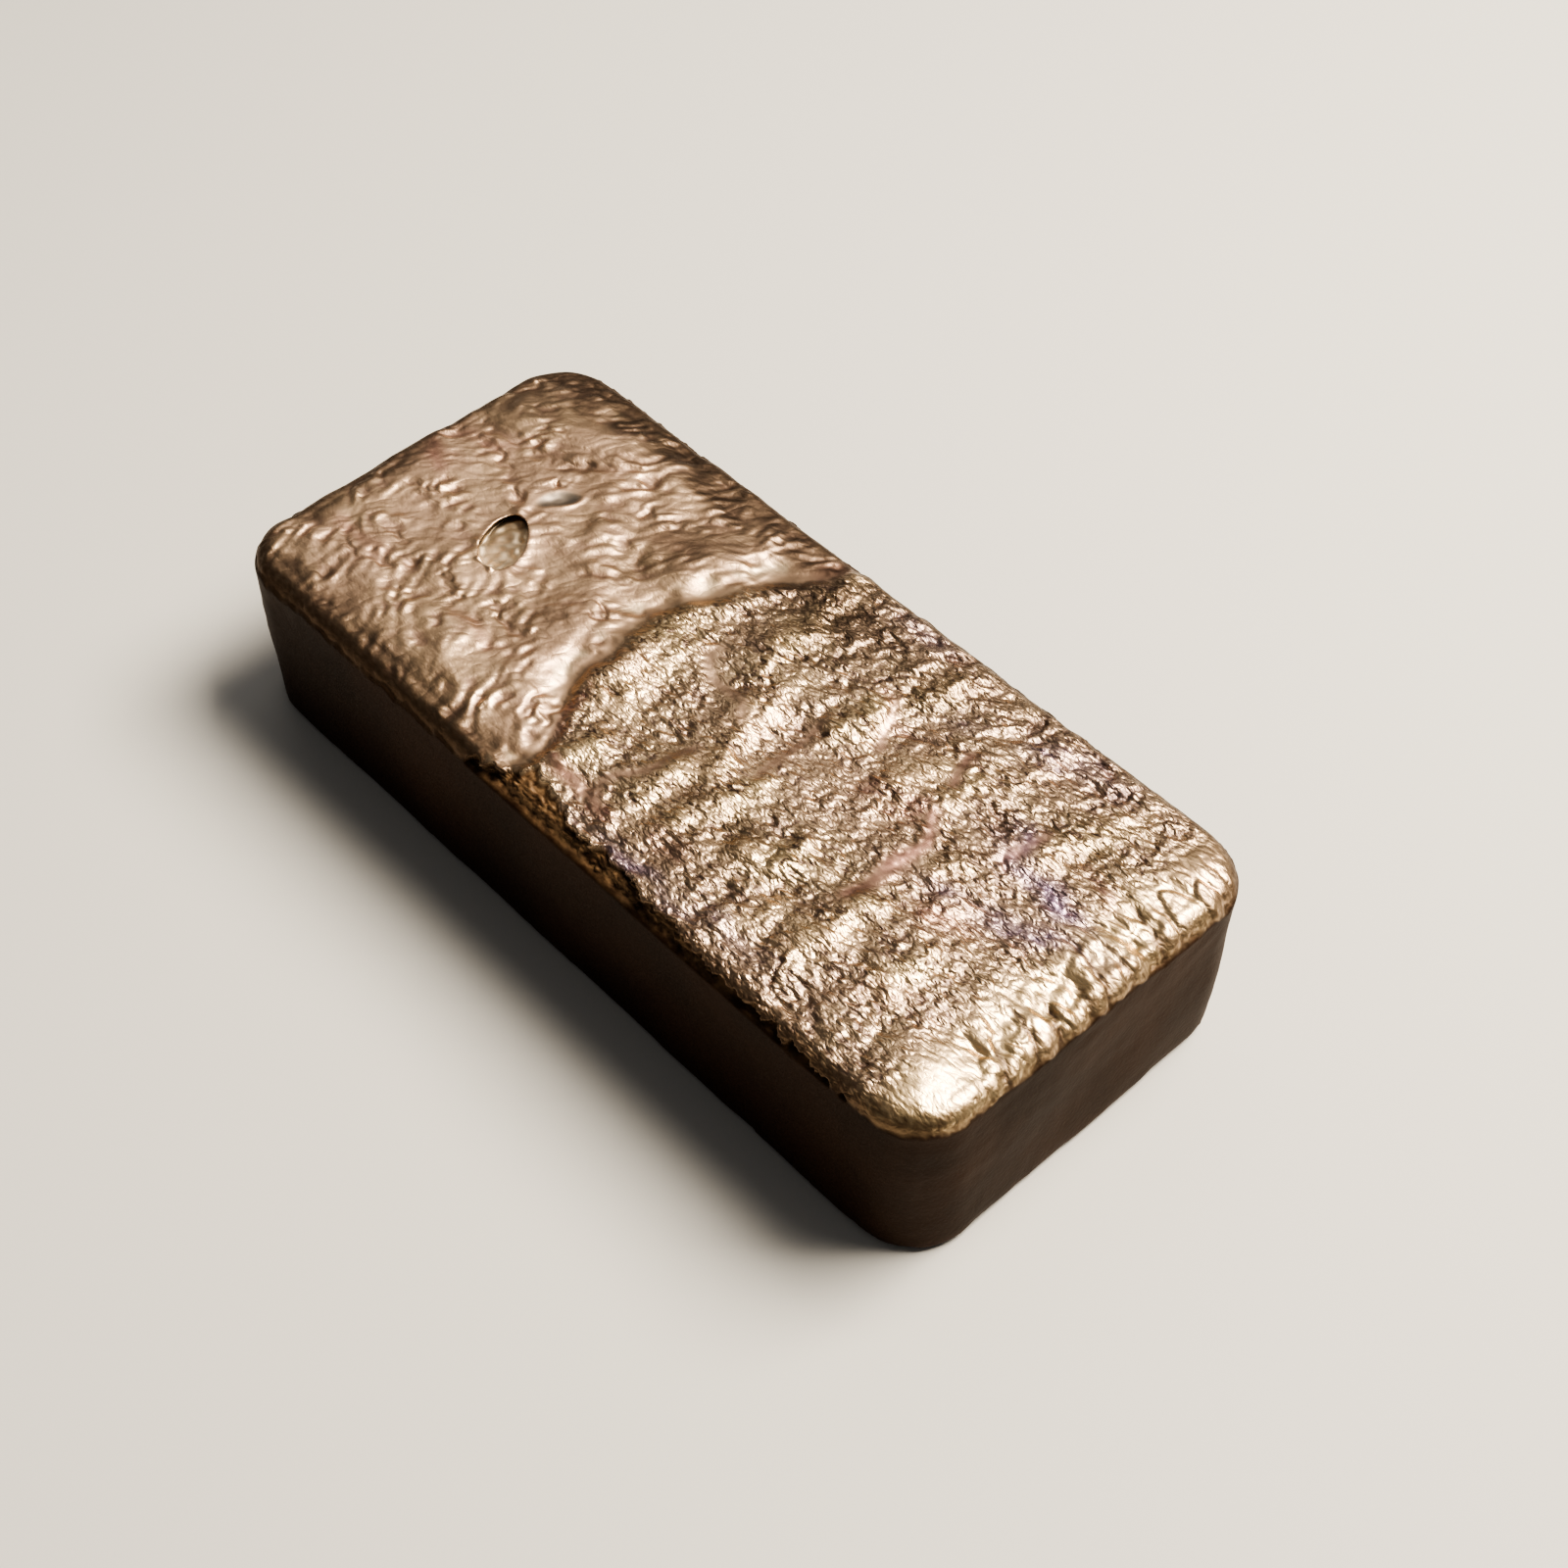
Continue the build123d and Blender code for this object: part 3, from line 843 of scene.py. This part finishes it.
class Nodes:
    """Short calls for a node tree."""

    def __init__(self, tree):
        self.tree = tree

    def add(self, kind, **settings):
        node = self.tree.nodes.new(kind)
        for key, value in settings.items():
            setattr(node, key, value)
        return node

    def link(self, out, socket):
        if isinstance(out, (int, float, tuple)):
            socket.default_value = out
        else:
            self.tree.links.new(out, socket)

    def attribute(self, name):
        return self.add("ShaderNodeAttribute", attribute_name=name).outputs["Fac"]

    def math(self, operation, a, b=0.0, clamp=False):
        node = self.add("ShaderNodeMath", operation=operation, use_clamp=clamp)
        self.link(a, node.inputs[0])
        self.link(b, node.inputs[1])
        return node.outputs[0]

    def ramp(self, value, low_in, high_in, low_out=0.0, high_out=1.0):
        node = self.add("ShaderNodeMapRange", clamp=True)
        self.link(value, node.inputs["Value"])
        limits = {"From Min": low_in, "From Max": high_in, "To Min": low_out, "To Max": high_out}
        for key, number in limits.items():
            node.inputs[key].default_value = number
        return node.outputs["Result"]

    def mix(self, factor, a, b):
        node = self.add("ShaderNodeMix", data_type="RGBA")
        self.link(factor, node.inputs[0])
        self.link(a if not isinstance(a, tuple) else (*a, 1.0), node.inputs[6])
        self.link(b if not isinstance(b, tuple) else (*b, 1.0), node.inputs[7])
        return node.outputs[2]

    def over(self, below, mask, amount, colour):
        """A colour laid over another by a mask, at most by an amount."""
        return self.mix(self.math("MULTIPLY", mask, amount), below, colour)

    def bump(self, height, distance, normal=None):
        node = self.add("ShaderNodeBump")
        node.inputs["Distance"].default_value = distance
        node.inputs["Strength"].default_value = 1.0
        self.link(height, node.inputs["Height"])
        if normal is not None:
            self.link(normal, node.inputs["Normal"])
        return node.outputs[0]

    def noise(self, scale, stretch=(1, 1, 1), turn=0.0, detail=3.0, rough=0.55):
        """Noise with scale lumps to the metre, drawn out by stretch and turned about Z."""
        place = self.add("ShaderNodeTexCoord").outputs["Object"]
        mapping = self.add("ShaderNodeMapping", vector_type="TEXTURE")
        mapping.inputs["Rotation"].default_value = (0, 0, math.radians(turn))
        mapping.inputs["Scale"].default_value = stretch
        self.link(place, mapping.inputs["Vector"])
        node = self.add("ShaderNodeTexNoise")
        self.link(mapping.outputs[0], node.inputs["Vector"])
        node.inputs["Scale"].default_value = scale
        node.inputs["Detail"].default_value = detail
        node.inputs["Roughness"].default_value = rough
        return node.outputs["Fac"]

    def creased(self, scale, stretch, turn):
        """Round lumps with sharp creases between them, scale to the metre."""
        lumps = self.noise(scale, stretch, turn, 1.0, 0.4)
        return self.math("MULTIPLY", self.math("ABSOLUTE", self.math("SUBTRACT", lumps, 0.5)), 3.0)


def face_colour(n, mask):
    """Open face: pale gold crests, pinkish copper, brown oxide and painted shade in the valleys, heat
    tints, a painted highlight on the lap's bank, a painted reflection in the dimple and a painted shadow
    under the blister's skin.
    """
    broad = n.noise(110, detail=3)
    mottle = n.noise(420, (1.6, 1, 1), 10, 3)
    bright = n.mix(n.ramp(broad, 0.38, 0.62), *CRESTS)
    deep = n.mix(n.ramp(broad, 0.35, 0.65), *VALLEY_OXIDE_AND_SHADE)
    # Painted shade with oxide: folds, valleys and cuts are made darker.
    face = n.mix(n.ramp(mask["oxide_and_shade"], -0.9, 0.6), deep, bright)
    # Painted shade: darker between the swells' crests.
    face = n.over(face, mask["swell_valley_shade"], 0.5, SWELL_VALLEY_SHADE)
    first_pour = n.mix(n.ramp(mottle, 0.35, 0.65), *FIRST_POUR)
    face = n.over(face, n.math("SUBTRACT", 1.0, mask["second"]), 0.6, first_pour)
    face = n.over(face, mask["fold"], 0.7, FOLD)
    # Painted highlight: paler colour on the lap's bank.
    face = n.over(face, mask["bank"], 0.45, BANK_HIGHLIGHT)
    stain = n.ramp(mottle, 0.30, 0.55, 0.45, 1.0)
    face = n.over(face, n.math("MULTIPLY", mask["rose"], stain), 0.65, ROSE)
    face = n.over(face, n.math("MULTIPLY", mask["violet"], stain), 0.75, VIOLET)
    face = n.over(face, mask["pit"], 0.8, PIT)
    # Painted reflection: blue-grey in the dimple.
    face = n.over(face, mask["dimple_reflection"], 0.75, DIMPLE_REFLECTION)
    # Tarnished patches and painted shade along the edges darken the face.
    tarnish_and_shade = n.math("MULTIPLY", mask["tarnish_and_edge_shade"], n.ramp(mottle, 0.30, 0.55, 0.7, 1.0))
    face = n.mix(n.math("MULTIPLY", tarnish_and_shade, 1.05, clamp=True), face, TARNISH_AND_SHADE)
    # Soot and painted shade: the skin darkens down the shoulder.
    face = n.over(face, mask["sooty_and_shaded"], 0.88, SOOT_AND_SHADE)
    # Painted shadow: the undercut under the blister's skin is near black.
    return n.mix(mask["hollow"], face, UNDERCUT_SHADOW)


def wall_colour(n, mask):
    """Mould faces: dark brown oxide, made darker still as painted shade, with a fine grain and a few
    bright specks.
    """
    grain = n.noise(3400, detail=2)
    # Painted shade: the walls are kept darker than their oxide.
    wall = n.mix(n.ramp(n.noise(70, detail=4), 0.35, 0.68), *MOULD_OXIDE_AND_SHADE)
    wall = n.mix(n.ramp(grain, 0.60, 0.80, 0.0, 0.4), wall, SPECKS)
    torn = n.mix(n.ramp(n.noise(900, (2, 1, 1), 5, 3), 0.40, 0.62), *TORN)
    wall = n.over(wall, mask["ledge"], 0.9, torn)
    return n.over(wall, mask["worn"], n.ramp(grain, 0.38, 0.58, 0.3, 1.0), WORN)


def surface_roughness(n, mask):
    """Smoother on the crests of the second pour, rougher in the soot and painted shade by the mould, the
    pit and on the walls.
    """
    rough = n.ramp(mask["oxide_and_shade"], -1.0, 1.0, 0.46, 0.32)
    rough = n.math("ADD", rough, n.ramp(mask["second"], 0, 1, 0.08, 0.0))
    dusty = n.math("MAXIMUM", mask["sooty_and_shaded"], mask["pit"])
    rough = n.math("ADD", rough, n.ramp(dusty, 0.2, 1.0, 0.0, 0.12))
    node = n.add("ShaderNodeMix", data_type="FLOAT")
    n.link(mask["skin"], node.inputs[0])
    node.inputs[2].default_value = 0.58
    n.link(rough, node.inputs[3])
    return node.outputs[0]


def fine_relief(n, mask):
    """Fine relief under the mesh's own: foil creases on the face, mould grain on the walls."""
    foil = n.creased(900, (2.1, 1, 1), 12)
    foil = n.math("ADD", foil, n.math("MULTIPLY", n.creased(1900, (1.8, 1, 1), -8), 0.5))
    soft = n.creased(620, (1.9, 1, 1), 56)
    height = n.math("ADD", n.math("MULTIPLY", foil, n.ramp(mask["second"], 0, 1, 0.2, 1.0)),
                    n.math("MULTIPLY", soft, n.ramp(mask["second"], 0, 1, 0.5, 0.0)))
    height = n.math("ADD", height, n.math("MULTIPLY", n.noise(2600, detail=2), 0.06))
    pit_and_dimple = n.math("MAXIMUM", mask["pit"], mask["dimple_reflection"])
    plain = n.math("MULTIPLY", n.ramp(mask["fold"], 0, 1, 1, 0.3), n.ramp(pit_and_dimple, 0, 1, 1, 0.15))
    plain = n.math("MULTIPLY", plain, n.ramp(mask["wrinkled"], 0, 1, 0.3, 1.0))
    height = n.math("MULTIPLY", n.math("MULTIPLY", height, plain), mask["skin"])
    grain = n.math("ADD", n.noise(2200, detail=3), n.noise(500, detail=2))
    grain = n.math("MULTIPLY", grain, n.math("SUBTRACT", 1.0, mask["skin"]))
    return n.bump(grain, GRAIN_HEIGHT, n.bump(height, FOIL_HEIGHT))


def copper_material():
    material = bpy.data.materials.new("poured_copper")
    material.use_nodes = True
    tree = material.node_tree
    tree.nodes.clear()
    n = Nodes(tree)
    shader = n.add("ShaderNodeBsdfPrincipled")
    output = n.add("ShaderNodeOutputMaterial")
    n.link(shader.outputs[0], output.inputs["Surface"])

    mask = {name: n.attribute(name) for name in MASKS}
    n.link(n.mix(mask["skin"], wall_colour(n, mask), face_colour(n, mask)), shader.inputs["Base Color"])
    n.link(n.ramp(mask["skin"], 0, 1, 0.35, 1.0), shader.inputs["Metallic"])
    shader.inputs["Specular IOR Level"].default_value = 0.25
    n.link(surface_roughness(n, mask), shader.inputs["Roughness"])
    n.link(fine_relief(n, mask), shader.inputs["Normal"])
    return material


# ---------------------------------------------------------------- studio
# Camera: angles in degrees, lens and the rest in millimetres.
CAMERA_TURN, CAMERA_RISE, CAMERA_ROLL = 46.21, 49.56, 0.86
CAMERA_LENS, CAMERA_DISTANCE = 58.47, 278.2
CAMERA_AIM = (1.55, 7.67, 3.56)

# Directions of the lights, seen from the bar.
KEY_FROM = (0.27, 0.45, 0.85)
FILL_FROM = (-0.47, 0.45, 0.76)

# Floor: half its side in metres, and the pale grey of it.
FLOOR_HALF_SIDE = 3.0
FLOOR_COLOUR = (0.72, 0.71, 0.69, 1)

WORLD_COLOUR = (1.0, 0.98, 0.95, 1)
WORLD_STRENGTH = 0.13


def make_camera():
    turn, rise, roll = (math.radians(a) for a in (CAMERA_TURN, CAMERA_RISE, CAMERA_ROLL))
    back = Vector((math.sin(turn) * math.cos(rise), -math.cos(turn) * math.cos(rise), math.sin(rise)))
    level = Vector((math.cos(turn), math.sin(turn), 0))
    rising = back.cross(level)
    right = math.cos(roll) * level + math.sin(roll) * rising
    up = back.cross(right)
    camera = bpy.data.objects.new("camera", bpy.data.cameras.new("camera"))
    camera.data.sensor_width = 36.0
    camera.data.lens = CAMERA_LENS
    camera.data.clip_start = 0.01
    camera.matrix_world = Matrix.Translation(
        (Vector(CAMERA_AIM) + back * CAMERA_DISTANCE) * MM
    ) @ Matrix((right, up, back)).transposed().to_4x4()
    bpy.context.scene.collection.objects.link(camera)
    bpy.context.scene.camera = camera


def area_light(name, direction, distance, size, power, colour):
    """A square soft light that faces the bar's top from a direction."""
    data = bpy.data.lights.new(name, "AREA")
    data.size = size
    data.energy = power
    data.color = colour
    light = bpy.data.objects.new(name, data)
    away = Vector(direction).normalized()
    light.location = away * distance + Vector((0, 0, TOP * MM))
    light.rotation_euler = away.to_track_quat("Z", "Y").to_euler()
    bpy.context.scene.collection.objects.link(light)


def make_floor():
    mesh = bpy.data.meshes.new("floor")
    side = FLOOR_HALF_SIDE
    corners = [(-side, -side, 0), (side, -side, 0), (side, side, 0), (-side, side, 0)]
    mesh.from_pydata(corners, [], [(0, 1, 2, 3)])
    floor = bpy.data.objects.new("floor", mesh)
    material = bpy.data.materials.new("floor")
    material.use_nodes = True
    shader = material.node_tree.nodes["Principled BSDF"]
    shader.inputs["Base Color"].default_value = FLOOR_COLOUR
    shader.inputs["Roughness"].default_value = 0.9
    mesh.materials.append(material)
    bpy.context.scene.collection.objects.link(floor)


def make_world():
    world = bpy.data.worlds.new("studio")
    bpy.context.scene.world = world
    world.use_nodes = True
    background = world.node_tree.nodes["Background"]
    background.inputs["Color"].default_value = WORLD_COLOUR
    background.inputs["Strength"].default_value = WORLD_STRENGTH


bpy.context.scene.view_settings.look = "AgX - High Contrast"
make_camera()
make_floor()
make_world()
area_light("key", KEY_FROM, distance=0.6, size=0.34, power=7.0, colour=(1.0, 0.90, 0.75))
area_light("fill", FILL_FROM, distance=0.9, size=0.7, power=0.6, colour=(1.0, 0.93, 0.84))

ingot = make_ingot()
ingot.data.materials.append(copper_material())
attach(ingot, BODY)
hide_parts(NODE)
